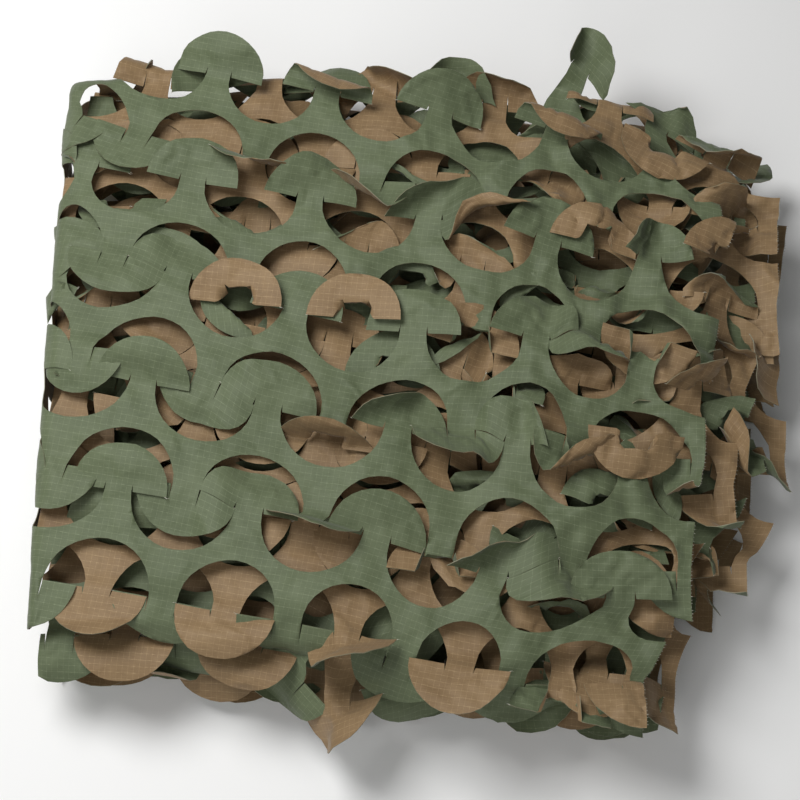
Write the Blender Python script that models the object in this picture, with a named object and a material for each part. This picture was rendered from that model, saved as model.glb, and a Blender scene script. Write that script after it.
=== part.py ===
"""Camouflage net folded back and forth into a square pack, with leaf gaps cut in its top layer.

Metres, +Z up. The front of the pack faces -Y and the origin is under the middle of it.
"""
import math
from collections import namedtuple

import bmesh
import bpy
from mathutils import Matrix, Vector

# Driving sizes
CLOTH_THICKNESS = 0.002
LAYER_PITCH = 0.0130         # from one layer to the next, leaves in between
LEAF_DIAMETER = 0.074        # the round die that cuts the leaves
SLEEVE_SEGMENTS = 6          # flat stretches along one layer
FOLD_SEGMENTS = 4            # flats round one fold
STATION_COUNT = 15           # sections from the left end to the right end
ROW_SLOPE = math.radians(-11.0)   # the leaf rows run down to the right

# One row for each layer, top first: where its left and right ends lie, and how far its
# two Y ends stop short of the pack's outline.
Layer = namedtuple("Layer", "left right front_inset back_inset")
LAYERS = (
    Layer(-0.284, 0.247, 0.020, 0.012),
    Layer(-0.292, 0.282, 0.020, 0.024),
    Layer(-0.298, 0.300, 0.004, 0.024),
    Layer(-0.288, 0.286, 0.004, 0.006),
    Layer(-0.300, 0.296, 0.014, 0.006),
    Layer(-0.290, 0.274, 0.014, 0.000),
    Layer(-0.296, 0.298, 0.000, 0.000),
    Layer(-0.286, 0.268, 0.000, 0.010),
)

# The pack's outline and unevenness from left to right. Swell raises the layers as a share
# of their height: it is the rumpled right side and the flatter left one.
Station = namedtuple("Station", "x front back swell rumple")
STATIONS = (
    Station(-0.300, -0.209, 0.201, -0.16, 0.01),
    Station(-0.262, -0.253, 0.263, -0.06, 0.02),
    Station(-0.200, -0.269, 0.271, -0.01, 0.03),
    Station(-0.120, -0.263, 0.283, 0.00, 0.03),
    Station(-0.040, -0.287, 0.267, 0.01, 0.04),
    Station(0.040, -0.269, 0.263, 0.02, 0.05),
    Station(0.110, -0.275, 0.279, 0.05, 0.06),
    Station(0.170, -0.281, 0.287, 0.08, 0.08),
    Station(0.230, -0.263, 0.249, 0.06, 0.08),
    Station(0.300, -0.183, 0.187, -0.08, 0.04),
)
RUMPLE_LENGTH_X = 0.150
RUMPLE_LENGTH_Y = 0.190
RUMPLE_SLANT = 9.0           # radians a metre that the waves lean from front to back
EDGE_DROP = 0.10             # share of its height that a layer sinks towards front and back

# The twelve largest gaps, each half of a leaf's round hole: its centre, and whether it is
# the upper half, above a cap, or the lower half, left by a cap that is folded back.
Gap = namedtuple("Gap", "x y half")
UPPER = 1
LOWER = -1
GAPS = (
    Gap(-0.166, 0.186, UPPER),
    Gap(-0.070, 0.167, UPPER),
    Gap(0.026, 0.148, UPPER),
    Gap(0.120, 0.127, UPPER),
    Gap(-0.134, 0.067, LOWER),
    Gap(-0.040, 0.047, LOWER),
    Gap(0.104, 0.033, UPPER),
    Gap(-0.196, -0.003, UPPER),
    Gap(-0.100, -0.029, UPPER),
    Gap(0.010, -0.053, UPPER),
    Gap(-0.206, -0.103, UPPER),
    Gap(0.098, -0.083, UPPER),
)
GAP_SEGMENTS = 9
GAP_FILLET = 0.92            # the gap's radius as a share of the leaf's


def clear_scene():
    for item in list(bpy.data.objects):
        bpy.data.objects.remove(item, do_unlink=True)


def cloth_material():
    material = bpy.data.materials.new("coated ripstop")
    material.use_nodes = True
    shader = material.node_tree.nodes["Principled BSDF"]
    shader.inputs["Base Color"].default_value = (0.128, 0.162, 0.096, 1.0)
    shader.inputs["Roughness"].default_value = 0.72
    shader.inputs["Metallic"].default_value = 0.0
    return material


def at_station(x, column):
    """Value of one column of STATIONS at x, smooth from row to row."""
    if x <= STATIONS[0].x:
        return getattr(STATIONS[0], column)
    for low, high in zip(STATIONS, STATIONS[1:]):
        if x <= high.x:
            share = (x - low.x) / (high.x - low.x)
            share = share * share * (3.0 - 2.0 * share)
            return getattr(low, column) * (1.0 - share) + getattr(high, column) * share
    return getattr(STATIONS[-1], column)


def stretch(x, y):
    """How much the pack is swollen or pressed down at a place, about 1."""
    front = at_station(x, "front")
    back = at_station(x, "back")
    across = 2.0 * (y - front) / (back - front) - 1.0
    wave = math.sin(2.0 * math.pi * x / RUMPLE_LENGTH_X + RUMPLE_SLANT * y)
    wave *= math.cos(2.0 * math.pi * y / RUMPLE_LENGTH_Y)
    return 1.0 + at_station(x, "swell") + at_station(x, "rumple") * wave - EDGE_DROP * across ** 4


def layer_height(index, x, y):
    """Height of the middle of a layer; index 0 is the top one and the last lies flat."""
    steps = len(LAYERS) - 1 - index
    return CLOTH_THICKNESS / 2 + steps * LAYER_PITCH * stretch(x, y)


def layer_x(index, share):
    layer = LAYERS[index]
    return layer.left + share * (layer.right - layer.left)


def layer_line(index, share):
    """Points of one layer's middle line, from the end where the cloth comes in."""
    x = layer_x(index, share)
    layer = LAYERS[index]
    front = at_station(x, "front") + layer.front_inset + LAYER_PITCH / 2
    back = at_station(x, "back") - layer.back_inset - LAYER_PITCH / 2
    ends = (back, front) if index % 2 == 0 else (front, back)
    points = []
    for step in range(SLEEVE_SEGMENTS + 1):
        y = ends[0] + (ends[1] - ends[0]) * step / SLEEVE_SEGMENTS
        points.append(Vector((x, y, layer_height(index, x, y))))
    return points


def fold_line(start, end, side):
    """Points round the fold that joins the end of one layer to the start of the next."""
    middle = (start + end) / 2
    half = (start - end) / 2
    radius = abs(half.z)
    points = []
    for step in range(1, FOLD_SEGMENTS):
        turn = math.pi * step / FOLD_SEGMENTS
        reach = Vector((0.0, side * radius * math.sin(turn), 0.0))
        points.append(middle + half * math.cos(turn) + reach)
    return points


def section_line(share):
    points = []
    for index in range(len(LAYERS)):
        line = layer_line(index, share)
        if points:
            side = -1.0 if index % 2 == 1 else 1.0
            points.extend(fold_line(points[-1], line[0], side))
        points.extend(line)
    return points


def thicken(points):
    """Two lines, half the cloth's thickness to each side of the middle line."""
    left_side = []
    right_side = []
    for index, point in enumerate(points):
        before = points[max(index - 1, 0)]
        after = points[min(index + 1, len(points) - 1)]
        along = Vector((0.0, after.y - before.y, after.z - before.z)).normalized()
        across = Vector((0.0, -along.z, along.y)) * CLOTH_THICKNESS / 2
        left_side.append(point + across)
        right_side.append(point - across)
    return left_side, right_side


def flatten_floor(point, inner):
    """Keep the lowest layer's two faces level, so that the pack has a flat face to lie on."""
    if inner:
        return Vector((point.x, point.y, CLOTH_THICKNESS))
    return Vector((point.x, point.y, 0.0))


def build_folded_cloth():
    bm = bmesh.new()
    rings = []
    for station in range(STATION_COUNT):
        sides = thicken(section_line(station / (STATION_COUNT - 1)))
        lowest_layer = len(sides[0]) - SLEEVE_SEGMENTS - 1
        for number, side in enumerate(sides):
            for index in range(lowest_layer, len(side)):
                side[index] = flatten_floor(side[index], inner=(number == 0))
        rings.append([[bm.verts.new(point) for point in side] for side in sides])
    count = len(rings[0][0])
    for left, right in zip(rings, rings[1:]):
        for index in range(count - 1):
            bm.faces.new((left[0][index], left[0][index + 1], right[0][index + 1], right[0][index]))
            bm.faces.new((left[1][index + 1], left[1][index], right[1][index], right[1][index + 1]))
        for index in (0, count - 1):
            bm.faces.new((left[0][index], right[0][index], right[1][index], left[1][index]))
    for ring in (rings[0], rings[-1]):
        for index in range(count - 1):
            bm.faces.new((ring[0][index], ring[0][index + 1], ring[1][index + 1], ring[1][index]))
    bmesh.ops.recalc_face_normals(bm, faces=bm.faces)
    bmesh.ops.triangulate(bm, faces=bm.faces)
    mesh = bpy.data.meshes.new("net")
    bm.to_mesh(mesh)
    bm.free()
    net = bpy.data.objects.new("net", mesh)
    net.data.materials.append(cloth_material())
    bpy.context.scene.collection.objects.link(net)
    return net


def build_gap_cutter(number, gap):
    """A half-round prism through the top layer only."""
    radius = GAP_FILLET * LEAF_DIAMETER / 2
    bm = bmesh.new()
    outline = []
    for step in range(GAP_SEGMENTS + 1):
        angle = math.pi * step / GAP_SEGMENTS
        outline.append(bm.verts.new((radius * math.cos(angle), gap.half * radius * math.sin(angle), 0.0)))
    face = bm.faces.new(outline)
    height = 2.0 * LAYER_PITCH
    extruded = bmesh.ops.extrude_face_region(bm, geom=[face])
    top = [item for item in extruded["geom"] if isinstance(item, bmesh.types.BMVert)]
    bmesh.ops.translate(bm, verts=top, vec=(0.0, 0.0, height))
    bmesh.ops.recalc_face_normals(bm, faces=bm.faces)
    mesh = bpy.data.meshes.new("gap_cutter")
    bm.to_mesh(mesh)
    bm.free()
    base = layer_height(0, gap.x, gap.y) - LAYER_PITCH / 2
    mesh.transform(Matrix.Translation((gap.x, gap.y, base)) @ Matrix.Rotation(ROW_SLOPE, 4, "Z"))
    cutter = bpy.data.objects.new("gap_cutter_%02d" % number, mesh)
    cutter.hide_render = True
    cutter.display_type = "WIRE"
    bpy.context.scene.collection.objects.link(cutter)
    return cutter


def cut_gaps(net):
    for number, gap in enumerate(GAPS):
        cut = net.modifiers.new("leaf gap %d" % number, "BOOLEAN")
        cut.operation = "DIFFERENCE"
        cut.solver = "EXACT"
        cut.object = build_gap_cutter(number, gap)


clear_scene()
cut_gaps(build_folded_cloth())
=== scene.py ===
import math
import random

import bmesh
import bpy
from mathutils import Matrix, Vector, noise
from mathutils.geometry import delaunay_2d_cdt
from mathutils.kdtree import KDTree


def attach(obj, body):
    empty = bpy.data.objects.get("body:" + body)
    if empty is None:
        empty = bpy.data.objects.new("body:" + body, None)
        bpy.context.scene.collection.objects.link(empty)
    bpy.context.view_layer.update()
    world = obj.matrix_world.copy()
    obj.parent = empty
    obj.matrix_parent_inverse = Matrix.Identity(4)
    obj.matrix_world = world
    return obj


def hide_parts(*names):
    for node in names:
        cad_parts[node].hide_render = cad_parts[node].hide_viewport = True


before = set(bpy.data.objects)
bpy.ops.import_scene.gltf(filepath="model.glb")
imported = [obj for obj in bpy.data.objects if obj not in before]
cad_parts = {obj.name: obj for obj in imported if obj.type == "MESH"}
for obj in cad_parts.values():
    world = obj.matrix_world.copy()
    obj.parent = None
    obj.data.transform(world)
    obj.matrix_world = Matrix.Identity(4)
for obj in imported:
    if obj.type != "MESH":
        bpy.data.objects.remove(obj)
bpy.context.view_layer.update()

view = {
    "target": (0.0, -0.013, 0.040),
    "elevation": 67.0,       # degrees above the table
    "distance": 1.5,
    "pixelsFocal": 1870.0,   # focal length in pixels of an 800 pixel frame
    "framePixels": 800.0,
}


def addCamera():
    data = bpy.data.cameras.new("viewCamera")
    data.sensor_width = 36.0
    data.lens = view["pixelsFocal"] / view["framePixels"] * data.sensor_width
    camera = bpy.data.objects.new("viewCamera", data)
    bpy.context.scene.collection.objects.link(camera)
    lift = math.radians(view["elevation"])
    target = Vector(view["target"])
    camera.location = target + view["distance"] * Vector((0.0, -math.cos(lift), math.sin(lift)))
    camera.rotation_euler = (math.pi / 2 - lift, 0.0, 0.0)
    bpy.context.scene.camera = camera
    print("camera set")


studio = {
    "keySize": 0.7, "keyPower": 15.6, "keyPlace": (-0.56, 0.30, 1.22),
    "fillSize": 1.2, "fillPower": 7.0, "fillPlace": (-0.35, -1.1, 1.2),
    "worldGrey": 0.97, "worldStrength": 0.14,
    "floorHex": "f8f8f7", "floorSize": 6.0, "floorLevel": -0.0005, "floorRoughness": 0.9,
}


def addLight(name, size, power, place):
    data = bpy.data.lights.new(name, "AREA")
    data.size = size
    data.energy = power
    lamp = bpy.data.objects.new(name, data)
    lamp.location = place
    lamp.rotation_euler = (-Vector(place)).to_track_quat("-Z", "Y").to_euler()
    bpy.context.scene.collection.objects.link(lamp)


def addStudio():
    addLight("keyLight", studio["keySize"], studio["keyPower"], studio["keyPlace"])
    addLight("fillLight", studio["fillSize"], studio["fillPower"], studio["fillPlace"])
    world = bpy.data.worlds.new("studioWorld")
    world.use_nodes = True
    background = world.node_tree.nodes["Background"]
    background.inputs["Color"].default_value = (studio["worldGrey"],) * 3 + (1.0,)
    background.inputs["Strength"].default_value = studio["worldStrength"]
    bpy.context.scene.world = world
    bpy.context.scene.view_settings.view_transform = "Standard"
    bpy.ops.mesh.primitive_plane_add(size=studio["floorSize"], location=(0.0, 0.0, studio["floorLevel"]))
    floor = bpy.context.object
    floor.name = "floor"
    material = bpy.data.materials.new("white paper floor")
    material.use_nodes = True
    shader = material.node_tree.nodes["Principled BSDF"]
    shader.inputs["Base Color"].default_value = linearColour(studio["floorHex"])
    shader.inputs["Roughness"].default_value = studio["floorRoughness"]
    floor.data.materials.append(material)
    print("studio set")


def linearColour(hexText):
    values = [int(hexText[i:i + 2], 16) / 255.0 for i in (0, 2, 4)]
    linear = [v / 12.92 if v <= 0.04045 else ((v + 0.055) / 1.055) ** 2.4 for v in values]
    return (*linear, 1.0)


def addNode(tree, kind, settings=None, values=None, links=None):
    # one node: attributes, socket values by name or number, and sources for its inputs
    node = tree.nodes.new(kind)
    for key, value in (settings or {}).items():
        setattr(node, key, value)
    for key, value in (values or {}).items():
        node.inputs[key].default_value = value
    for key, source in (links or {}).items():
        tree.links.new(source, node.inputs[key])
    return node


ripstop = {
    "rowThreadMm": 5.4,      # heavier threads along the rows
    "crossThreadMm": 4.2,    # fainter ones across
    "threadShare": 0.065,    # half the width of such a thread as a share of the square
    "weaveMm": 0.8,          # plain weave, drawn coarser than its 0.3 mm so that it shows
    "streakMm": 7.0,         # length of the paler and darker weft threads
    "mottleMm": 34.0,
    "creaseMm": 21.0,
    "greenHex": "636d50", "greenDarkHex": "525c41", "greenThreadHex": "808a6c",
    "brownHex": "8f7654", "brownDarkHex": "7a6244", "brownThreadHex": "b09771",
    "fadeMm": 2.32558,       # the threads fade and come back about this often
    "fadeRange": (0.42, 0.68), "fadeTo": 0.20,
    "crossWeight": 0.7, "knotWeight": 0.9, "threadMix": 0.85,
    "toneRange": (0.50, 1.05), "streakWeight": 0.55,
    "creaseHeight": 0.0026, "creaseStrength": 0.75,
    "weaveHeight": 0.0003, "weaveStrength": 0.22, "weaveWeight": 0.5,
    "roughness": 0.62, "sheen": 0.12, "sheenRoughness": 0.5, "specular": 0.35,
}


def ripstopCloth(name, face):
    # coated nylon ripstop: matt, with a faint sheen and a raised thread every 5 mm
    baseHex, darkHex, threadHex = (ripstop[face + kind] for kind in ("Hex", "DarkHex", "ThreadHex"))
    material = bpy.data.materials.new(name)
    material.use_nodes = True
    tree = material.node_tree
    shader = tree.nodes["Principled BSDF"]
    uv = addNode(tree, "ShaderNodeUVMap", {"uv_map": "clothMetres"})
    parts = addNode(tree, "ShaderNodeSeparateXYZ", links={0: uv.outputs["UV"]})
    lines = []
    across = (0, ripstop["crossThreadMm"], ripstop["crossWeight"])
    for axis, size, weight in (across, (1, ripstop["rowThreadMm"], 1.0)):
        scaled = addNode(tree, "ShaderNodeMath", {"operation": "MULTIPLY"},
                         {1: 1000.0 / size}, {0: parts.outputs[axis]})
        share = addNode(tree, "ShaderNodeMath", {"operation": "FRACT"}, links={0: scaled.outputs[0]})
        centred = addNode(tree, "ShaderNodeMath", {"operation": "SUBTRACT"}, {1: 0.5}, {0: share.outputs[0]})
        away = addNode(tree, "ShaderNodeMath", {"operation": "ABSOLUTE"}, links={0: centred.outputs[0]})
        line = addNode(tree, "ShaderNodeMapRange", {"interpolation_type": "SMOOTHSTEP"},
                       {1: ripstop["threadShare"], 2: 0.0, 3: 0.0, 4: weight}, {0: away.outputs[0]})
        lines.append(line)
    grid = addNode(tree, "ShaderNodeMath", {"operation": "MAXIMUM"},
                   links={0: lines[0].outputs[0], 1: lines[1].outputs[0]})
    broken = addNode(tree, "ShaderNodeTexNoise", values={"Scale": 1000.0 / ripstop["fadeMm"], "Detail": 2.0},
                     links={"Vector": uv.outputs["UV"]})
    fadeLow, fadeHigh = ripstop["fadeRange"]
    speckled = addNode(tree, "ShaderNodeMapRange", links={0: broken.outputs["Fac"]},
                       values={1: fadeLow, 2: fadeHigh, 3: ripstop["fadeTo"], 4: 1.0})
    brokenGrid = addNode(tree, "ShaderNodeMath", {"operation": "MULTIPLY", "use_clamp": True},
                         links={0: grid.outputs[0], 1: speckled.outputs[0]})
    knots = addNode(tree, "ShaderNodeMath", {"operation": "MULTIPLY"},
                    links={0: lines[0].outputs[0], 1: lines[1].outputs[0]})
    specks = addNode(tree, "ShaderNodeMath", {"operation": "MULTIPLY_ADD", "use_clamp": True},
                    {1: ripstop["knotWeight"]}, {0: knots.outputs[0], 2: brokenGrid.outputs[0]})
    mottle = addNode(tree, "ShaderNodeTexNoise",
                     values={"Scale": 1000.0 / ripstop["mottleMm"], "Detail": 3.0, "Roughness": 0.6},
                     links={"Vector": uv.outputs["UV"]})
    drawn = addNode(tree, "ShaderNodeMapping",
                    values={"Scale": (1000.0 / ripstop["streakMm"], 1000.0 / ripstop["weaveMm"], 1.0)},
                    links={"Vector": uv.outputs["UV"]})
    fine = addNode(tree, "ShaderNodeTexNoise", values={"Scale": 1.0, "Detail": 1.0},
                   links={"Vector": drawn.outputs["Vector"]})
    toneMix = addNode(tree, "ShaderNodeMath", {"operation": "MULTIPLY_ADD"}, {1: ripstop["streakWeight"]},
                      {0: fine.outputs["Fac"], 2: mottle.outputs["Fac"]})
    tone = addNode(tree, "ShaderNodeMapRange", links={0: toneMix.outputs[0]},
                   values={1: ripstop["toneRange"][0], 2: ripstop["toneRange"][1]})
    base = addNode(tree, "ShaderNodeMix", {"data_type": "RGBA"},
                   {6: linearColour(darkHex), 7: linearColour(baseHex)}, {0: tone.outputs[0]})
    threads = addNode(tree, "ShaderNodeMath", {"operation": "MULTIPLY"},
                      {1: ripstop["threadMix"]}, {0: specks.outputs[0]})
    colour = addNode(tree, "ShaderNodeMix", {"data_type": "RGBA"}, {7: linearColour(threadHex)},
                     {0: threads.outputs[0], 6: base.outputs[2]})
    tree.links.new(colour.outputs[2], shader.inputs["Base Color"])
    weave = addNode(tree, "ShaderNodeTexNoise", values={"Scale": 1000.0 / ripstop["weaveMm"], "Detail": 2.0},
                    links={"Vector": uv.outputs["UV"]})
    relief = addNode(tree, "ShaderNodeMath", {"operation": "MULTIPLY_ADD"}, {1: ripstop["weaveWeight"]},
                     {0: weave.outputs["Fac"], 2: brokenGrid.outputs[0]})
    crease = addNode(tree, "ShaderNodeTexNoise", {"noise_type": "RIDGED_MULTIFRACTAL"},
                     {"Scale": 1000.0 / ripstop["creaseMm"], "Detail": 2.0, "Distortion": 0.6},
                     {"Vector": uv.outputs["UV"]})
    creaseBump = addNode(tree, "ShaderNodeBump", links={"Height": crease.outputs["Fac"]},
                         values={"Strength": ripstop["creaseStrength"], "Distance": ripstop["creaseHeight"]})
    bump = addNode(tree, "ShaderNodeBump",
                   values={"Strength": ripstop["weaveStrength"], "Distance": ripstop["weaveHeight"]},
                   links={"Height": relief.outputs[0], "Normal": creaseBump.outputs["Normal"]})
    tree.links.new(bump.outputs["Normal"], shader.inputs["Normal"])
    shader.inputs["Roughness"].default_value = ripstop["roughness"]
    shader.inputs["Sheen Weight"].default_value = ripstop["sheen"]
    shader.inputs["Sheen Roughness"].default_value = ripstop["sheenRoughness"]
    shader.inputs["Specular IOR Level"].default_value = ripstop["specular"]
    return material


# the cut rims of the cloth are paler than its faces: partly pale threads at the cut, partly a painted
# highlight along the edges
rawThread = {"speckMm": 1.11111, "darkShare": 0.6, "roughness": 0.55, "edgeHighlightHex": "8e8a70", "endHex": "d9d6c6"}


def threadAndEdgeHighlight(name, hexText):
    # raw ends of nylon threads: pale, slightly shiny; the same material covers the cut rims of the cloth,
    # where the paler colour is partly the pale cut threads and partly a painted highlight along the edges
    material = bpy.data.materials.new(name)
    material.use_nodes = True
    tree = material.node_tree
    shader = tree.nodes["Principled BSDF"]
    spot = addNode(tree, "ShaderNodeTexCoord")
    speck = addNode(tree, "ShaderNodeTexNoise", values={"Scale": 1000.0 / rawThread["speckMm"]},
                    links={"Vector": spot.outputs["Object"]})
    dark = tuple(rawThread["darkShare"] * c for c in linearColour(hexText)[:3]) + (1.0,)
    colour = addNode(tree, "ShaderNodeMix", {"data_type": "RGBA"}, {6: dark, 7: linearColour(hexText)},
                     {0: speck.outputs["Fac"]})
    tree.links.new(colour.outputs[2], shader.inputs["Base Color"])
    shader.inputs["Roughness"].default_value = rawThread["roughness"]
    return material


leafCut = {
    "radius": 0.038,
    "pitch": 0.097,          # from leaf to leaf along a row
    "rowDepth": 0.076,       # cloth from one row's cut line to the next
    "opening": 0.020,        # how far a row is pulled open
    "upSlit": 0.006,         # cuts into the leaf at its neck
    "downSlit": 0.015,
    "slitMouth": 0.0012,
    "arcSteps": 16,
    "edgeSteps": 5,
    "pointClearance": 0.55,  # grains between the cut edge and the first inner points
    "rowShare": 0.866,       # row distance of an even triangle grid
}
leafR = leafCut["radius"]
pitch = leafCut["pitch"]
rowDepth = leafCut["rowDepth"]
neck = (pitch - 2 * leafR) / 2


def arcPoints(cx, cy, startAngle, endAngle, steps):
    points = []
    for step in range(steps + 1):
        angle = startAngle + (endAngle - startAngle) * step / steps
        points.append((cx + leafR * math.cos(angle), cy + leafR * math.sin(angle)))
    return points


def straightEdge(fromU, toU, v):
    steps = leafCut["edgeSteps"]
    return [(fromU + (toU - fromU) * step / steps, v) for step in range(steps + 1)]


def bandOutline(firstColumn, lastColumn):
    # one band between two rows, leaves standing up from it and hanging down, counter-clockwise
    mouth = leafCut["slitMouth"]
    steps = leafCut["arcSteps"]
    top = []
    for column in range(firstColumn, lastColumn + 1):
        middle = column * pitch
        top += arcPoints(middle - pitch / 2, 0.0, math.pi, 2 * math.pi, steps)[:-1]
        top += [(middle - neck, 0.0), (middle - neck, leafCut["upSlit"])]
        top += straightEdge(middle - neck - mouth, middle - leafR + mouth, 0.0)
        top += arcPoints(middle, 0.0, math.pi, 0.0, steps)
        top += straightEdge(middle + leafR - mouth, middle + neck + mouth, 0.0)
        top += [(middle + neck, leafCut["upSlit"])]
    top.append((lastColumn * pitch + neck, 0.0))
    low = []
    for column in range(lastColumn, firstColumn - 1, -1):
        middle = column * pitch
        low += arcPoints(middle, -rowDepth, 0.0, math.pi, steps)[:-1]
        middle -= pitch / 2
        low += [(middle + neck, -rowDepth), (middle + neck, -rowDepth - leafCut["downSlit"])]
        low += straightEdge(middle + neck + mouth, middle + leafR - mouth, -rowDepth)
        low += arcPoints(middle, -rowDepth, 0.0, -math.pi, steps)
        low += straightEdge(middle - leafR + mouth, middle - neck - mouth, -rowDepth)
        low += [(middle - neck, -rowDepth - leafCut["downSlit"])]
    low.append((firstColumn * pitch - pitch / 2 - neck, -rowDepth))
    loop = top + low
    loop.reverse()
    return loop


def flatBand(firstColumn, lastColumn, grain):
    # triangles of one band: its outline, and inside it a grid of points about a grain apart
    loop = bandOutline(firstColumn, lastColumn)
    points = [Vector(p) for p in loop]
    tree = KDTree(len(points))
    for index, point in enumerate(points):
        tree.insert((point.x, point.y, 0.0), index)
    tree.balance()
    inner = []
    rowStep = grain * leafCut["rowShare"]
    rowCount = int((rowDepth + 2 * leafR) / rowStep)
    lowU = firstColumn * pitch - pitch
    highU = lastColumn * pitch + leafR
    for row in range(rowCount + 1):
        v = leafR - row * rowStep
        u = lowU + (grain / 2 if row % 2 else 0.0)
        while u < highU:
            if tree.find((u, v, 0.0))[2] > grain * leafCut["pointClearance"]:
                inner.append(Vector((u, v)))
            u += grain
    count = len(points)
    result = delaunay_2d_cdt(points + inner, [], [list(range(count))], 1, 1e-7)
    verts, faces = result[0], result[2]
    used = sorted({index for face in faces for index in face})
    renumber = {old: new for new, old in enumerate(used)}
    return [tuple(verts[i]) for i in used], [[renumber[i] for i in face] for face in faces]


pack = {
    "layerPitch": 0.0130,
    "floorGap": 0.0012,
    "rumpleX": 0.150,
    "rumpleY": 0.190,
    "rumpleSlant": 9.0,      # radians a metre that the waves lean from front to back
    "edgeDrop": 0.10,
    "rumpledFrom": (-0.06, 0.24),    # x where the rumpled side starts, and the run to where it is full
    "calmFront": (-0.05, -0.2, 0.25),    # the same in y for the calmer front, and how much calmer
    "foldReach": 0.026,      # how far from a fold its two layers start to close
    "foldOverlap": 0.004,
    "foldCurl": 0.045,       # the part of a band that counts as going round a fold
}
# soft waves of the cloth: their height at the calm left, what the rumpled side adds, and how much less
# each lower layer and the bottom one have
cockles = {"calm": 0.0022, "wild": 0.0052, "lessBelow": 0.07, "bottom": 0.2}
# and their kinds: waves a metre across and from front to back, change from layer to layer, start, share
waves = (
    (13.0, 13.0, 0.0, 4.2, 1.0),
    (24.0, 24.0, 7.3, 0.0, 0.9),
    (52.0, 52.0, 3.1, 40.0, 0.75),
    (95.0, 70.0, 2.3, 70.0, 0.30),
)
ridges = {"across": 9.0, "deep": 15.0, "perLayer": 5.7, "start": 11.0, "sharpness": 3.0, "share": 0.8}
# how far the right and left corners of the lower layers draw in
corners = {"frontRight": 0.070, "backRight": 0.030, "backRightDrop": 0.026, "backLeftDrop": 0.016}
# where an edge of single layers bulges or slides: layers, shift in x and in y, middle and width in x,
# then the y where the bulge starts and its run
bulges = (
    ((2,), 0.054, 0.0, 0.120, 0.070, 0.18, 0.08),
    ((1,), 0.0, 0.012, 0.140, 0.045, 0.16, 0.08),
    ((2,), 0.0, 0.060, 0.140, 0.045, 0.16, 0.08),
    ((2, 3), 0.0, -0.036, -0.015, 0.050, -0.14, -0.08),
    ((2, 3), -0.036, 0.0, 0.0, 0.075, -0.14, -0.08),
)
# the pack's outline and unevenness from left to right: x, front, back, swell, rumple
stations = (
    (-0.300, -0.209, 0.201, -0.16, 0.01),
    (-0.262, -0.253, 0.263, -0.06, 0.02),
    (-0.200, -0.269, 0.271, -0.01, 0.03),
    (-0.120, -0.263, 0.283, 0.00, 0.03),
    (-0.040, -0.287, 0.267, 0.01, 0.04),
    (0.040, -0.269, 0.263, 0.02, 0.05),
    (0.110, -0.275, 0.279, 0.05, 0.06),
    (0.170, -0.281, 0.287, 0.08, 0.08),
    (0.230, -0.263, 0.249, 0.06, 0.08),
    (0.300, -0.183, 0.187, -0.08, 0.04),
)
# fold lines in the order of the cloth: row it falls on (x.5 is the middle of a band), then its
# place where column 0 meets it and its slope in degrees
folds = (
    (0.0, -0.150, 0.277, -11.0),
    (5.0, -0.225, -0.186, -10.5),
    (11.0, -0.158, 0.272, -8.0),
    (16.0, -0.206, -0.215, -4.0),
    (21.5, -0.150, 0.284, -5.0),
    (27.0, -0.232, -0.208, -5.0),
    (32.5, -0.160, 0.280, -4.0),
    (38.0, -0.220, -0.206, -5.0),
    (43.5, -0.156, 0.262, -3.0),
)
# left and right limits of each layer: x of the left edge, cloth past it, u of the factory edge
layerEnds = (
    (-0.267, 0.066, 0.436),
    (-0.268, 0.004, 0.490),
    (-0.264, 0.006, 0.458),
    (-0.270, 0.000, 0.486),
    (-0.262, 0.006, 0.456),
    (-0.271, 0.000, 0.486),
    (-0.264, 0.004, 0.456),
    (-0.268, 0.000, 0.480),
)
# slow uneven slide of the cloth on the rumpled side
slides = {"across": 7.0, "deep": 9.0, "perLayer": 11.0, "apart": 50.0, "mostX": 0.016, "mostY": 0.012}
# where the holes of the top layer's rows lie, column -1 to 5, in mm
topRows = (
    ((-250, 268), (-150, 275), (-58, 262), (36, 246), (146, 276), (218, 212), (296, 176)),
    ((-252, 221), (-166, 189), (-71, 167), (24, 148), (118, 128), (208, 108), (302, 88)),
    ((-268, 102), (-174, 81), (-77, 63), (14, 46), (103, 25), (195, 5), (290, -12)),
    ((-290, 18), (-196, -1), (-101, -34), (0, -57), (92, -68), (183, -85), (278, -100)),
    ((-306, -76), (-211, -96), (-112, -118), (-15, -138), (78, -155), (166, -170), (252, -184)),
    ((-320, -166), (-225, -184), (-129, -202), (-40, -221), (42, -249), (128, -262), (216, -262)),
)
topBands = len(topRows) - 1
foldRows = tuple(int(fold[0]) for fold in folds[1:] if fold[0] % 1.0 == 0.0)   # rows that a fold falls on


def smooth(share):
    share = min(max(share, 0.0), 1.0)
    return share * share * (3.0 - 2.0 * share)


def atStation(x, column):
    if x <= stations[0][0]:
        return stations[0][column]
    for low, high in zip(stations, stations[1:]):
        if x <= high[0]:
            share = smooth((x - low[0]) / (high[0] - low[0]))
            return low[column] * (1.0 - share) + high[column] * share
    return stations[-1][column]


def ramp(value, start, run):
    # 0 before start, 1 past start + run
    return smooth((value - start) / run)


def unruly(x, y):
    # 0 where the pack lies smooth at the left, 1 where it is rumpled at the right
    start, run, calmer = pack["calmFront"]
    return ramp(x, *pack["rumpledFrom"]) * (1.0 - calmer * ramp(y, start, run))


def layerHeight(layer, x, y):
    front = atStation(x, 1)
    back = atStation(x, 2)
    across = min(max(2.0 * (y - front) / (back - front) - 1.0, -1.1), 1.1)
    wave = math.sin(2.0 * math.pi * x / pack["rumpleX"] + pack["rumpleSlant"] * y)
    wave *= math.cos(2.0 * math.pi * y / pack["rumpleY"])
    stretch = 1.0 + atStation(x, 3) + atStation(x, 4) * wave - pack["edgeDrop"] * across ** 4
    steps = len(folds) - 2 - layer
    return pack["floorGap"] + steps * pack["layerPitch"] * stretch


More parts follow.
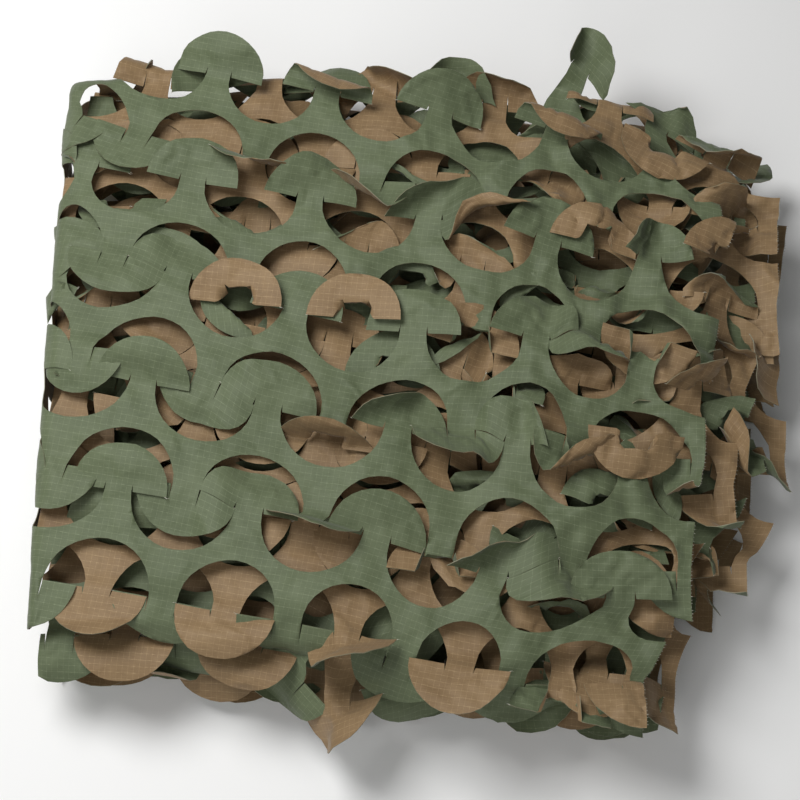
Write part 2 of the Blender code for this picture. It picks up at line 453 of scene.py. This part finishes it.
def cockle(layer, x, y):
    # soft waves of the cloth that lift it off the layer below, higher where the pack is rumpled
    wild = unruly(x, y)
    size = (cockles["calm"] + cockles["wild"] * wild) * (1.0 - cockles["lessBelow"] * layer)
    if layer == len(folds) - 2:
        size *= cockles["bottom"]
    total = 0.0
    for across, deep, perLayer, start, share in waves:   # the one that all layers share grows with the rumple
        wave = noise.noise(Vector((x * across, y * deep, layer * perLayer + start))) * share
        total += wave if perLayer else wave * (1.0 + wild)
    spot = Vector((x * ridges["across"], y * ridges["deep"], layer * ridges["perLayer"] + ridges["start"]))
    ridge = 1.0 - min(abs(noise.noise(spot)) * ridges["sharpness"], 1.0)
    return size * (total + ridge * ridge * ridges["share"])


def warp(layer, plan):
    # uneven shift of the cloth within its layer, towards the right end, and its rounded corners
    wild = unruly(plan.x, plan.y)
    if layer > 0:
        drawnIn = ramp(plan.y, -0.10, -0.15) * corners["frontRight"]
        drawnIn += ramp(plan.y, 0.17, 0.10) * corners["backRight"]
        plan = Vector((plan.x - drawnIn * ramp(plan.x, 0.06, 0.24), plan.y))
        plan.y -= corners["backRightDrop"] * ramp(plan.x, 0.20, 0.08) * ramp(plan.y, 0.12, 0.13)
        plan.y -= corners["backLeftDrop"] * ramp(plan.x, -0.09, -0.12) * ramp(plan.y, 0.19, 0.06)
    startY = plan.y
    for which, moveX, moveY, middle, width, edge, run in bulges:
        if layer in which:
            hump = math.exp(-((plan.x - middle) / width) ** 2)
            share = ramp(startY, edge, run)
            plan.x += moveX * hump * share
            plan.y += moveY * hump * share
    if wild <= 0.0:
        return plan
    spot = Vector((plan.x * slides["across"], plan.y * slides["deep"], layer * slides["perLayer"]))
    shiftX = noise.noise(spot) * slides["mostX"]
    shiftY = noise.noise(spot + Vector((slides["apart"], 0.0, 0.0))) * slides["mostY"]
    return Vector((plan.x + shiftX * wild, plan.y + shiftY * wild))


def foldPoint(index, u):
    if index < 2:
        return topPoint(topBands * index, u)
    _, x, y, slope = folds[index]
    turn = math.radians(slope)
    return Vector((x + u * math.cos(turn), y + u * math.sin(turn)))


def topPoint(row, u):
    # plan place of a top-layer row line at u, smooth through the columns
    places = topRows[row]
    spot = u / pitch + 1.0
    index = min(max(int(math.floor(spot)), 0), len(places) - 2)
    share = spot - index
    before = Vector(places[max(index - 1, 0)])
    start = Vector(places[index])
    end = Vector(places[index + 1])
    after = Vector(places[min(index + 2, len(places) - 1)])
    tangentIn = (end - before) / 2
    tangentOut = (after - start) / 2
    if share < 0.0:
        return (start + tangentIn * share) / 1000.0
    if share > 1.0:
        return (end + tangentOut * (share - 1.0)) / 1000.0
    s2, s3 = share * share, share ** 3
    point = start * (2 * s3 - 3 * s2 + 1) + tangentIn * (s3 - 2 * s2 + share)
    point += end * (3 * s2 - 2 * s3) + tangentOut * (s3 - s2)
    return point / 1000.0


midU = 0.15                  # u of the middle of a band


def rowPlaces():
    # for each row: its layer, and how far from that layer's first fold it lies at column 0
    places = {}
    for layer in range(len(folds) - 1):
        rowFrom, rowTo = folds[layer][0], folds[layer + 1][0]
        length = (foldPoint(layer + 1, midU) - foldPoint(layer, midU)).length
        if rowFrom % 1.0:
            first, startAt = int(rowFrom + 0.5), rowDepth / 2
        else:
            first, startAt = int(rowFrom) + 1, rowDepth
        if rowTo % 1.0:
            last, endAt = int(rowTo - 0.5), length - rowDepth / 2 - leafCut["opening"]
        else:
            last, endAt = int(rowTo), length
        for row in range(first, last + 1):
            share = (row - first) / (last - first)
            places[row] = (layer, (startAt + (endAt - startAt) * share) / length)
    return places


rowPlace = rowPlaces()
lastRow = max(rowPlace)


def surfaceHeight(layer, x, y):
    x = max(x, layerEnds[layer][0])
    return layerHeight(layer, x, y) + cockle(layer, x, y)


def placeAt(layer, plan):
    plan = warp(layer, plan)
    return Vector((plan.x, plan.y, surfaceHeight(layer, plan.x, plan.y)))


limits = {"low": 0.0007, "high": 0.1175, "left": -0.322, "right": 0.325, "front": -0.312, "back": 0.311}
# room for a leaf above and below its own layer, inside the pack and what being free adds
room = {
    "above": 0.007, "aboveFree": 0.060, "below": 0.008, "belowFree": 0.050, "topBelow": 0.8,
    "softFrom": 0.108,       # heights from which the top and the bottom give way
    "softTo": 0.006,
}
# the top layer's turn down at the left and at the back
rolls = {
    "left": 0.012, "leftShare": 0.45, "leftLeast": 0.004, "leftPress": 0.75, "leftPressRun": 0.008,
    "back": 0.016, "backTurn": 1.45, "backEdge": 0.254, "backRise": 0.070, "backRiseAt": (-0.235, 0.060),
    "foldLeft": -0.296,
}


def softCap(value, cap):
    return cap * math.tanh(value / cap)


def freeShare(x, y):
    # 1 where nothing lies on a layer: past the ends and folds of the pack
    return max(ramp(x, 0.225, 0.05), ramp(y, 0.245, 0.03), ramp(y, -0.205, -0.04), ramp(x, -0.262, -0.02))


def settle(layer, spot):
    # keeps a leaf between its neighbour layers, then turns the left end down
    surface = surfaceHeight(layer, spot.x, spot.y)
    off = spot.z - surface
    free = freeShare(spot.x, spot.y)
    if off > 0.0:
        off = softCap(off, room["above"] + room["aboveFree"] * (free if layer else 1.0))
    else:
        off = softCap(off, room["below"] + room["belowFree"] * (free if layer else room["topBelow"] * free))
    z = surface + off
    edge = layerEnds[layer][0]
    past = edge - spot.x
    x, y = spot.x, spot.y
    if past > 0.0:
        off *= 1.0 - rolls["leftPress"] * smooth(past / rolls["leftPressRun"])
        radius = min(rolls["left"], max(surface * rolls["leftShare"], rolls["leftLeast"]))
        quarter = radius * math.pi / 2
        angle = min(past / radius, math.pi / 2)
        x = edge - (radius + off) * math.sin(angle)
        z = surface - radius + (radius + off) * math.cos(angle)
        if past > quarter:
            z -= past - quarter
    if layer == 0:
        backEdge = rolls["backEdge"] + rolls["backRise"] * ramp(x, *rolls["backRiseAt"])
        beyond = y - backEdge
        if beyond > 0.0:
            radius = rolls["back"]
            angle = min(beyond / radius, rolls["backTurn"])
            y = backEdge + (radius + off) * math.sin(angle)
            z -= radius * (1.0 - math.cos(angle)) + max(beyond - radius * rolls["backTurn"], 0.0)
    if z > room["softFrom"]:
        z = room["softFrom"] + softCap(z - room["softFrom"], limits["high"] - room["softFrom"])
    if z < room["softTo"]:
        z = room["softTo"] - softCap(room["softTo"] - z, room["softTo"] - limits["low"])
    x = min(max(x, limits["left"]), limits["right"])
    return Vector((x, min(max(y, limits["front"]), limits["back"]), z))


def layerPoint(layer, u, share):
    start = foldPoint(layer, u)
    end = foldPoint(layer + 1, u)
    return start + (end - start) * share


def closeFold(place, other, distance):
    # near a fold that falls on a row, two layers come together half way between them
    closing = 0.5 - 0.5 * ramp(distance, -pack["foldOverlap"], pack["foldReach"])
    place.z += (surfaceHeight(other, place.x, place.y) - place.z) * closing
    return place


def bandPoint(band, u, v):
    # where a place of one band lies: u along the band, v up from its low row line to its top one
    if band < topBands:
        low = topPoint(band + 1, u)
        high = topPoint(band, u)
        plan = low + (high - low).normalized() * (rowDepth + v)
        place = placeAt(0, plan)
        return closeFold(place, 1, rowDepth + v) if band == topBands - 1 else place
    layer, share = rowPlace[band + 1]
    start = foldPoint(layer, u)
    end = foldPoint(layer + 1, u)
    length = (end - start).length
    distance = share * length - (rowDepth + v)
    wraps = bool(folds[layer][0] % 1.0) and folds[layer][0] == band + 0.5
    if not wraps:
        place = placeAt(layer, start + (end - start) * (distance / length))
        if folds[layer][0] % 1.0 == 0.0 and distance < length / 2:
            return closeFold(place, layer - 1, distance)
        if folds[layer + 1][0] % 1.0 == 0.0 and distance > length / 2:
            return closeFold(place, layer + 1, length - distance)
        return place
    # the band goes round a fold
    before = foldPoint(layer - 1, u)
    backLength = (start - before).length
    lift = abs(layerHeight(layer - 1, start.x, start.y) - layerHeight(layer, start.x, start.y)) / 2
    arc = lift * math.pi / 2
    outward = (start - before).normalized()
    if distance > arc:
        return placeAt(layer, start + (end - start) * (distance / length))
    if distance < -arc:
        return placeAt(layer - 1, start + (before - start) * (-distance / backLength))
    centre = start - outward * arc
    upper = placeAt(layer - 1, centre)
    lower = placeAt(layer, centre)
    middle = (upper + lower) / 2
    half = (upper - lower) / 2
    angle = distance / arc * math.pi / 2
    reach = Vector((outward.x, outward.y, 0.0)) * half.length * math.cos(angle)
    return middle - half * math.sin(angle) + reach


def frameAt(band, u, v):
    # way along the band, way up it and way out of its face at one place
    step = 0.002
    along = (bandPoint(band, u + step, v) - bandPoint(band, u - step, v)).normalized()
    upward = (bandPoint(band, u, v + step) - bandPoint(band, u, v - step)).normalized()
    facing = along.cross(upward).normalized()
    upward = facing.cross(along).normalized()
    return along, upward, facing


leafLay = {
    "hingeRun": 0.003,       # how softly a leaf's shoulders follow its hinge
    "hingeInset": 0.0004,
    "hingeFrom": -0.001,
    "neckFrom": -0.012, "neckRun": 0.016,    # where a leaf starts to rise from its band
    "rootZone": 0.014,       # how far the leaf's lie reaches into the band
    "calmRun": 0.05,         # leaves near the rolled left edge stay flat
    "turnJitter": 0.10, "namedJitter": 3.0, "jitter": 4.0, "wildJitter": 10.0,
    "namedLoose": 0.55, "loose": 0.7, "wildLoose": 0.9, "calmLoose": 0.2,
    "creaseFrom": 0.003, "creaseRun": 0.020, "creaseAxis": 85.0,
    "strapGap": 0.006, "strapArch": 0.003,
}
# bends that every leaf gets by chance: radius, most degrees
chanceBends = ((0.020, 34.0), (0.009, 22.0), (0.0028, 26.0))
dents = {"wave": 34.0, "start": -0.004, "run": 0.012, "dent": 0.0014, "fold": 0.0018, "foldWave": 1.6,
         "foldSharpness": 4.0, "apart": 9.0, "least": 0.6}


def bendFrame(bend, a, b):
    # direction, way across, turn, arc and distance past the start of one bend of a leaf
    # a bend is (start, axis degrees, turn degrees, radius)
    start, axis, turn, radius = bend
    direction = math.radians(axis)
    across = Vector((-math.sin(direction), math.cos(direction), 0.0))
    total = math.radians(turn)
    arc = abs(total) * radius
    past = a * across.x + (b - start) * across.y
    return direction, across, total, arc, past


def bendPoint(point, bend, a, b, hingeHalf):
    direction, across, total, arc, past = bendFrame(bend, a, b)
    past = min(max(past, 0.0), arc)
    if hingeHalf is not None and leafLay["hingeFrom"] < b < bend[0] + arc:
        side = ramp(abs(a), hingeHalf, leafLay["hingeRun"])
        past = past + (arc - past) * side
    if past <= 0.0:
        return point
    radius = bend[3]
    sign = 1.0 if total > 0 else -1.0
    angle = past / radius
    origin = Vector((0.0, bend[0], 0.0))
    local = point - origin - across * past
    axis = Vector((math.cos(direction), math.sin(direction), 0.0))
    turned = Matrix.Rotation(sign * angle, 3, axis) @ local
    rise = radius * (1.0 - math.cos(angle)) * sign
    return origin + across * (radius * math.sin(angle)) + Vector((0.0, 0.0, rise)) + turned


# poses by name: rise of the neck, whether the slits hinge the leaf, and the bends root first
poses = {
    "flat": (0.0022, False, ((0.000, 0.0, 5.0, 0.040), (0.015, 0.0, -9.0, 0.040))),
    "lifted": (0.0030, False, ((0.000, 6.0, 26.0, 0.032), (0.018, -14.0, -42.0, 0.026))),
    "drooped": (-0.0010, False, ((0.000, -5.0, -18.0, 0.040),)),
    "hanging": (-0.0010, False, ((-0.013, 0.0, -82.0, 0.006), (0.016, 12.0, 26.0, 0.030))),
    "over": (0.0070, False, ((0.000, 0.0, 8.0, 0.040), (0.012, 0.0, -34.0, 0.040))),
    "creased": (0.0050, False, ((0.004, 70.0, -50.0, 0.006), (0.008, -35.0, 48.0, 0.008))),
    "raised": (0.0010, False, ((-0.004, 2.0, 58.0, 0.010), (0.022, 0.0, 16.0, 0.040))),
    "standing": (0.0010, False, ((-0.002, 0.0, 42.0, 0.014), (0.018, 8.0, -22.0, 0.040))),
    "flipped": (0.0010, True, ((0.009, 0.0, 158.0, 0.0024), (0.026, -10.0, 14.0, 0.050))),
    "leaning": (0.0006, True, ((0.014, 4.0, 118.0, 0.0040), (0.024, 8.0, 30.0, 0.030))),
    "turned": (0.0010, False, ((0.000, 5.0, 165.0, 0.0060), (0.026, -20.0, -30.0, 0.020))),
    "tucked": (-0.0006, True, ((0.012, 0.0, -168.0, 0.0018),)),
    "tipUp": (0.0008, False, ((0.000, 0.0, 6.0, 0.040), (0.010, 38.0, 75.0, 0.014))),
    "tipBack": (0.0008, False, ((0.000, 0.0, 6.0, 0.040), (0.008, -36.0, 150.0, 0.006))),
    "cupped": (0.0010, False, ((0.002, 60.0, 55.0, 0.026), (0.004, -58.0, 55.0, 0.026))),
    "curled": (0.0010, False, ((0.004, 6.0, 60.0, 0.022), (0.022, -14.0, 85.0, 0.014))),
    "rolled": (0.0006, False, ((0.005, -4.0, 168.0, 0.0075),)),
    "folded": (0.0010, True, ((0.003, -8.0, 160.0, 0.0036), (0.020, -24.0, 30.0, 0.028))),
    "scrolled": (0.0010, False, ((0.000, -14.0, 172.0, 0.0135), (0.030, 60.0, -30.0, 0.020))),
    "rolledDown": (0.0010, False, ((0.002, 4.0, -150.0, 0.0110),)),
    "tall": (0.0010, False, ((-0.020, 0.0, 30.0, 0.012), (0.016, 110.0, 110.0, 0.010))),
    "lens": (0.0010, False, ((0.000, 4.0, 30.0, 0.020), (0.012, 4.0, -120.0, 0.010))),
    "under": (-0.0030, False, ((0.000, 0.0, -24.0, 0.030), (0.014, 6.0, -30.0, 0.030))),
}
# leaves that lie in a way of their own: row, side, first column, and the pose from there on
laidLeaves = (
    (0, "up", -1, "drooped standing rolled standing rolled folded"),
    (1, "up", -1, "lifted lifted lifted tipUp flat cupped"),
    (1, "down", -1, "drooped raised tipUp scrolled flipped flipped"),
    (2, "up", -1, "flat drooped drooped lifted lifted tucked"),
    (2, "down", -1, "lifted flipped flipped tucked raised flipped"),
    (3, "up", -1, "flat standing flat tipUp cupped flipped"),
    (3, "down", 0, "flat leaning raised tipBack"),
    (4, "up", 0, "lifted flat flat tipUp lifted"),
    (4, "down", 0, "drooped raised tucked cupped"),
    (5, "up", -1, "over over over creased over tucked over"),
    (5, "down", 3, "drooped drooped"),
    (7, "down", 3, "curled"),
    (8, "up", 3, "tucked curled"),
    (8, "down", 3, "raised"),
    (9, "up", 5, "drooped"),
    (10, "up", 3, "raised cupped lifted"),
    (10, "down", 3, "tucked raised"),
    (11, "up", -1, "hanging - - cupped tall tipUp"),
    (11, "down", -1, "lens rolledDown tipBack curled rolledDown turned"),
    (16, "up", 0, "over over creased drooped"),
    (16, "down", -1, "over"),
    (27, "up", 4, "drooped"),
    (27, "down", -1, "drooped curled"),
)
namedLeaves = {(row, first + step, side): name for row, side, first, names in laidLeaves
               for step, name in enumerate(names.split()) if name != "-"}
# straps left uncut between an up leaf and the down leaf beside it: (row, column, side of the up leaf)
namedStraps = {(3, 1, -1), (4, 1, -1), (2, 0, -1), (1, 2, 1), (2, 3, 1), (3, 3, -1), (4, 3, 1)}

# poses by chance: leaves over and under a fold's edge, then the livelier and the calm ones inside the pack
overFold = ("over", "drooped", "over")
roundFold = ("drooped", "under", "curled", "cupped", "over", "under")
lively = ("tipUp", "tipBack", "curled", "leaning", "flipped", "cupped")
lessLively = ("tipUp", "curled", "flipped", "cupped")
calm = ("flat", "drooped", "flat", "lifted")
# rows down to which leaves lie lively, the share of them that do, and what the rumpled side adds
livelyRows = {"upper": (11, 0.60, 0.3), "lower": (22, 0.4, 0.4)}


def leafSeed(row, column, side):
    return random.Random(row * 1009 + (column + 20) * 31 + (7 if side == "up" else 0))


def isStrap(row, column, side):
    # is the cut line at this side of the up leaf left uncut
    if row <= 0 or row >= lastRow or row in foldRows:
        return False
    if row < foldRows[0]:
        return (row, column, side) in namedStraps
    return (row * 2 + column * 3 + (1 if side > 0 else 0)) % 5 == 0


def leafPose(row, column, side, place, facing):
    # pose of one leaf, by name at the top layer, else drawn from its own seed
    dice = leafSeed(row, column, side)
    wild = unruly(place.x, place.y)
    upSign = 1.0 if facing.z >= 0.0 else -1.0
    name = namedLeaves.get((row, column, side))
    if row == foldRows[0] and name is None:
        name = "over" if side == "up" else "under"
    if name is None:
        draw = dice.random()
        upperRows, upperShare, upperWild = livelyRows["upper"]
        lowerRows, lowerShare, lowerWild = livelyRows["lower"]
        if row == foldRows[2]:
            name = dice.choice(overFold) if side == "up" else "under"
        elif row in foldRows:
            name = dice.choice(roundFold)
        elif row < upperRows and draw < upperShare + upperWild * wild:
            name = dice.choice(lively)
        elif row < lowerRows and draw < lowerShare + lowerWild * wild:
            name = dice.choice(lessLively)
        else:
            name = dice.choice(calm)
    rise, hinged, bends = poses[name]
    edgeCalm = 1.0 if row > foldRows[0] else ramp(place.x, layerEnds[0][0], leafLay["calmRun"])
    if edgeCalm < 0.5:
        rise, hinged, bends = poses["flat"]
    named = (row, column, side) in namedLeaves
    jitter = leafLay["namedJitter"] if named else leafLay["jitter"] + leafLay["wildJitter"] * wild
    changed = []
    for start, axis, turn, radius in bends:
        axis += dice.uniform(-jitter, jitter)
        turn *= 1.0 + dice.uniform(-leafLay["turnJitter"], leafLay["turnJitter"])
        changed.append((start, axis, turn * upSign, radius))
    loose = leafLay["namedLoose"] if named else leafLay["loose"] + leafLay["wildLoose"] * wild
    loose *= leafLay["calmLoose"] + (1.0 - leafLay["calmLoose"]) * edgeCalm
    for radius, most in chanceBends:
        extra = dice.uniform(-most, most) * loose
        start = leafLay["creaseFrom"] + dice.uniform(0.0, leafLay["creaseRun"])
        changed.append((start, dice.uniform(-leafLay["creaseAxis"], leafLay["creaseAxis"]), extra, radius))
    return rise * upSign, hinged, changed


class Leaf:
    def __init__(self, band, column, side):
        self.band = band
        self.side = side
        self.middle = column * pitch if side == "up" else (column + 0.5) * pitch
        self.v = 0.0 if side == "up" else -rowDepth
        self.row = band if side == "up" else band + 1
        self.centre = bandPoint(band, self.middle, self.v)
        self.along, self.upward, self.facing = frameAt(band, self.middle, self.v)
        self.outward = self.upward if side == "up" else -self.upward
        pose = leafPose(self.row, column, side, self.centre, self.facing)
        self.rise, self.hinged, self.bends = pose
        self.seed = self.row * 2.3 + column * 5.1 + (40.0 if side == "up" else 0.0)
        self.loose = dents["least"] + unruly(self.centre.x, self.centre.y)

    def local(self, u, v):
        return u - self.middle, (v if self.side == "up" else -(v + rowDepth))

    def crumple(self, a, b):
        # dents and narrow creases of a leaf that has been handled
        spot = Vector((a * dents["wave"], b * dents["wave"], self.seed))
        dent = noise.noise(spot)
        other = noise.noise(spot * dents["foldWave"] + Vector((dents["apart"], 0.0, 0.0)))
        fold = 1.0 - min(abs(other) * dents["foldSharpness"], 1.0)
        height = dents["dent"] * dent + dents["fold"] * fold * fold
        return self.loose * ramp(b, dents["start"], dents["run"]) * height

    def point(self, u, v):
        a, b = self.local(u, v)
        slit = neck - leafLay["hingeInset"] if self.hinged else None
        spot = Vector((a, b, self.crumple(a, b)))
        for bend in reversed(self.bends):
            spot = bendPoint(spot, bend, a, b, slit if bend is self.bends[0] else None)
        height = spot.z + self.rise * ramp(b, leafLay["neckFrom"], leafLay["neckRun"])
        return self.centre + self.along * spot.x + self.outward * spot.y + self.facing * height


leaves = {}


def leafOf(band, column, side):
    key = (band, column, side)
    if key not in leaves:
        leaves[key] = Leaf(band, column, side)
    return leaves[key]


def strapShare(u, upColumn, side):
    # 0 at the up leaf, 1 at the down leaf beside it
    away = side * (u - upColumn * pitch)
    return ramp(away, leafLay["strapGap"], pitch / 2 - 2 * leafLay["strapGap"])


def clothPoint(band, u, v):
    # final place of a point of the net
    spot = unsettledPoint(band, u, v)
    if band < topBands:
        return settle(0, spot)
    layer = rowPlace[band + 1][0]
    if folds[layer][0] == band + 0.5:
        fold = foldPoint(layer, u)
        if abs(spot.y - fold.y) < pack["foldCurl"]:
            return Vector((max(spot.x, rolls["foldLeft"]), spot.y, max(spot.z, limits["low"])))
        upper = surfaceHeight(layer - 1, spot.x, spot.y)
        lower = surfaceHeight(layer, spot.x, spot.y)
        if abs(spot.z - upper) < abs(spot.z - lower):
            layer -= 1
    return settle(layer, spot)


def unsettledPoint(band, u, v):
    rootZone = leafLay["rootZone"]
    if v > -rootZone:
        column = round(u / pitch)
        leaf = leafOf(band, column, "up")
        spot = leaf.point(u, v)
        side = 1 if u > column * pitch else -1
        if v > -0.0001 and band > 0 and isStrap(band, column, side):
            other = leafOf(band - 1, column if side > 0 else column - 1, "down")
            share = strapShare(u, column, side)
            spot = spot.lerp(other.point(u, v - rowDepth), share)
            spot += leaf.facing * leafLay["strapArch"] * math.sin(math.pi * share)
        if v < 0.0:
            spot = bandPoint(band, u, v).lerp(spot, smooth((v + rootZone) / rootZone))
        return spot
    if v < -rowDepth + rootZone:
        column = round(u / pitch - 0.5)
        leaf = leafOf(band, column, "down")
        spot = leaf.point(u, v)
        side = -1 if u > (column + 0.5) * pitch else 1
        upColumn = column if side > 0 else column + 1
        if v < -rowDepth + 0.0001 and isStrap(band + 1, upColumn, side):
            other = leafOf(band + 1, upColumn, "up")
            share = strapShare(u, upColumn, side)
            spot = other.point(u, v + rowDepth).lerp(spot, share)
            spot += leaf.facing * leafLay["strapArch"] * math.sin(math.pi * share)
        if v > -rowDepth:
            spot = bandPoint(band, u, v).lerp(spot, smooth((-rowDepth + rootZone - v) / rootZone))
        return spot
    return bandPoint(band, u, v)


build = {
    "columns": (-2, 6),
    "grainFine": 0.0035,
    "grainCoarse": 0.0058,
    "thickness": 0.0005,
    "weldDistance": 0.00002,
    "smoothDegrees": 60.0,
    "leftSearch": (-0.30, 0.10), "searchSteps": 24,
}
fray = {
    "width": 0.00035,
    "step": 0.0027,          # along the factory edge
    "edgeLength": (0.0006, 0.0017),
    "tipLength": (0.0015, 0.004),
    "tipShare": 0.5, "endsAtTip": 2,
    "bend": 0.3, "tipBend": 0.4, "rootInside": 0.0004, "middleWidth": 0.9, "lean": 1.3,
    "probe": 0.002,          # how far back the way of an end is taken from
}
flatCache = {}


def bandLimits(band):
    # u where this band starts and ends, at its low row line, found by halving
    layer = layerOfBand(band)
    edge, past, right = layerEnds[layer]
    limit = edge - past
    low, high = build["leftSearch"]
    for step in range(build["searchSteps"]):
        middle = (low + high) / 2
        plan = topPoint(band + 1, middle) if band < topBands else planPoint(band, middle)
        if plan.x < limit:
            low = middle
        else:
            high = middle
    return low, right


def planPoint(band, u):
    layer, share = rowPlace[band + 1]
    return layerPoint(layer, u, share)


def layerOfBand(band):
    return 0 if band < topBands else rowPlace[band + 1][0]


def addThread(threads, root, direction, length, dice):
    # one loose thread end: a thin three-sided spike with a bend half way
    side = direction.cross(Vector((dice.uniform(-1, 1), dice.uniform(-1, 1), fray["lean"]))).normalized()
    other = direction.cross(side).normalized()
    half = fray["width"] / 2
    middle = root + direction * (length * 0.5) + side * dice.uniform(-fray["bend"], fray["bend"]) * length
    tip = root + direction * length + other * dice.uniform(-fray["tipBend"], fray["tipBend"]) * length
    rings = []
    for spot, size in ((root - direction * fray["rootInside"], half), (middle, half * fray["middleWidth"])):
        ring = []
        for corner in range(3):
            angle = corner * 2.0 * math.pi / 3.0
            place = spot + side * size * math.cos(angle) + other * size * math.sin(angle)
            ring.append(threads.verts.new(place))
        rings.append(ring)
    end = threads.verts.new(tip)
    for corner in range(3):
        after = (corner + 1) % 3
        threads.faces.new((rings[0][corner], rings[0][after], rings[1][after], rings[1][corner]))
        threads.faces.new((rings[1][corner], rings[1][after], end))
    threads.faces.new((rings[0][2], rings[0][1], rings[0][0]))


def frayBand(threads, band, piece, left, right):
    # thread ends along the straight factory edge, and a few at the tips of the leaves
    dice = random.Random(band * 77 + 5)
    for edge in piece.edges:
        if max(abs(vert.co.x - right) for vert in edge.verts) > 1e-5:
            continue
        low, high = sorted(vert.co.y for vert in edge.verts)
        v = math.ceil(low / fray["step"]) * fray["step"]
        while v < high:
            root = clothPoint(band, right, v)
            direction = (root - clothPoint(band, right - fray["probe"], v)).normalized()
            addThread(threads, root, direction, dice.uniform(*fray["edgeLength"]), dice)
            v += fray["step"]
    for column in range(build["columns"][0], build["columns"][1]):
        for middle, v in ((column * pitch, 0.0), ((column + 0.5) * pitch, -rowDepth)):
            for way in (-1, 1):
                u = middle + way * (leafR - leafCut["slitMouth"])
                if not left < u < right or dice.random() > fray["tipShare"]:
                    continue
                root = clothPoint(band, u, v)
                direction = (root - clothPoint(band, u - way * fray["probe"], v)).normalized()
                for count in range(fray["endsAtTip"]):
                    addThread(threads, root, direction, dice.uniform(*fray["tipLength"]), dice)


def dropLoosePieces(piece):
    # bits of leaf that an end cut has parted from the band
    unseen = set(piece.verts)
    parts = []
    while unseen:
        queue = [unseen.pop()]
        part = list(queue)
        while queue:
            for edge in queue.pop().link_edges:
                for vert in edge.verts:
                    if vert in unseen:
                        unseen.remove(vert)
                        queue.append(vert)
                        part.append(vert)
        parts.append(part)
    parts.sort(key=len)
    for part in parts[:-1]:
        bmesh.ops.delete(piece, geom=part, context="VERTS")


def addBand(bm, threads, uvLayer, band, grain):
    # cuts one band flat, trims its ends and puts each of its points where the folded net has it
    if grain not in flatCache:
        flatCache[grain] = flatBand(build["columns"][0], build["columns"][1], grain)
    verts, faces = flatCache[grain]
    piece = bmesh.new()
    made = [piece.verts.new((x, y, 0.0)) for x, y in verts]
    for face in faces:
        piece.faces.new([made[i] for i in face])
    left, right = bandLimits(band)
    for place, normal in ((left, (-1, 0, 0)), (right, (1, 0, 0))):
        geometry = piece.verts[:] + piece.edges[:] + piece.faces[:]
        bmesh.ops.bisect_plane(piece, geom=geometry, dist=1e-5, plane_co=(place, 0, 0), plane_no=normal,
                               clear_outer=True)
    dropLoosePieces(piece)
    placed = {vert: bm.verts.new(clothPoint(band, vert.co.x, vert.co.y)) for vert in piece.verts}
    for face in piece.faces:
        newFace = bm.faces.new([placed[vert] for vert in face.verts])
        newFace.smooth = True
        for loop, vert in zip(newFace.loops, face.verts):
            loop[uvLayer].uv = (vert.co.x, vert.co.y - band * rowDepth)
    frayBand(threads, band, piece, left, right)
    piece.free()


def flatAreaOf(mesh):
    # area of the cut cloth laid flat, from its flat coordinates
    spots = mesh.uv_layers["clothMetres"].data
    total = 0.0
    for face in mesh.polygons:
        loop = [spots[i].uv for i in face.loop_indices]
        for here, after in zip(loop, loop[1:] + loop[:1]):
            total += (here.x * after.y - after.x * here.y) / 2
    return abs(total)


def makeLayer(name, bands, grain, materials, threads):
    # one layer of the net as a sheet with its thickness: the mesh, its flat area and its flat size
    bpy.ops.object.select_all(action="DESELECT")
    bm = bmesh.new()
    uvLayer = bm.loops.layers.uv.new("clothMetres")
    for band in bands:
        addBand(bm, threads, uvLayer, band, grain)
    bmesh.ops.remove_doubles(bm, verts=bm.verts, dist=build["weldDistance"])
    mesh = bpy.data.meshes.new(name)
    bm.to_mesh(mesh)
    bm.free()
    layer = bpy.data.objects.new(name, mesh)
    bpy.context.scene.collection.objects.link(layer)
    for material in materials:
        mesh.materials.append(material)
    bpy.context.view_layer.objects.active = layer
    layer.select_set(True)
    spots = [loop.uv for loop in mesh.uv_layers["clothMetres"].data]
    wide = max(spot.x for spot in spots) - min(spot.x for spot in spots)
    long = max(spot.y for spot in spots) - min(spot.y for spot in spots)
    flatArea = flatAreaOf(mesh)
    bpy.ops.object.modifier_add(type="SOLIDIFY")
    wall = layer.modifiers[-1]
    wall.thickness = build["thickness"]
    wall.offset = 0.0
    wall.material_offset = 1
    wall.material_offset_rim = 2
    bpy.ops.object.modifier_apply(modifier=wall.name)
    bpy.ops.object.shade_smooth_by_angle(angle=math.radians(build["smoothDegrees"]))
    print(name, "made,", len(mesh.polygons), "faces,", round(flatArea, 3), "square metres")
    return layer, flatArea, (round(wide, 4), round(long, 4))


for item in bpy.context.selected_objects:
    item.select_set(False)
addCamera()
addStudio()
clothMaterials = (
    ripstopCloth("green coated ripstop", "green"),
    ripstopCloth("brown coated ripstop", "brown"),
    # rims of the sheets: pale cut threads plus a painted highlight along the edges
    threadAndEdgeHighlight("cut ripstop edge with painted highlight", rawThread["edgeHighlightHex"]),
)
bandsByLayer = {}
for band in range(lastRow):
    bandsByLayer.setdefault(layerOfBand(band), []).append(band)
threads = bmesh.new()
layers = []
for layer, bands in bandsByLayer.items():
    grain = build["grainFine"] if layer < 2 else build["grainCoarse"]
    layers.append(makeLayer("netLayer%d" % (layer + 1), bands, grain, clothMaterials, threads))
threadMesh = bpy.data.meshes.new("netThreads")
threads.to_mesh(threadMesh)
threads.free()
netThreads = bpy.data.objects.new("netThreads", threadMesh)
bpy.context.scene.collection.objects.link(netThreads)
threadMesh.materials.append(threadAndEdgeHighlight("raw nylon thread ends", rawThread["endHex"]))
print("threads made,", len(threadMesh.polygons), "faces")
for piece in [layer[0] for layer in layers] + [netThreads]:
    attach(piece, "root")
    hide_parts("net")
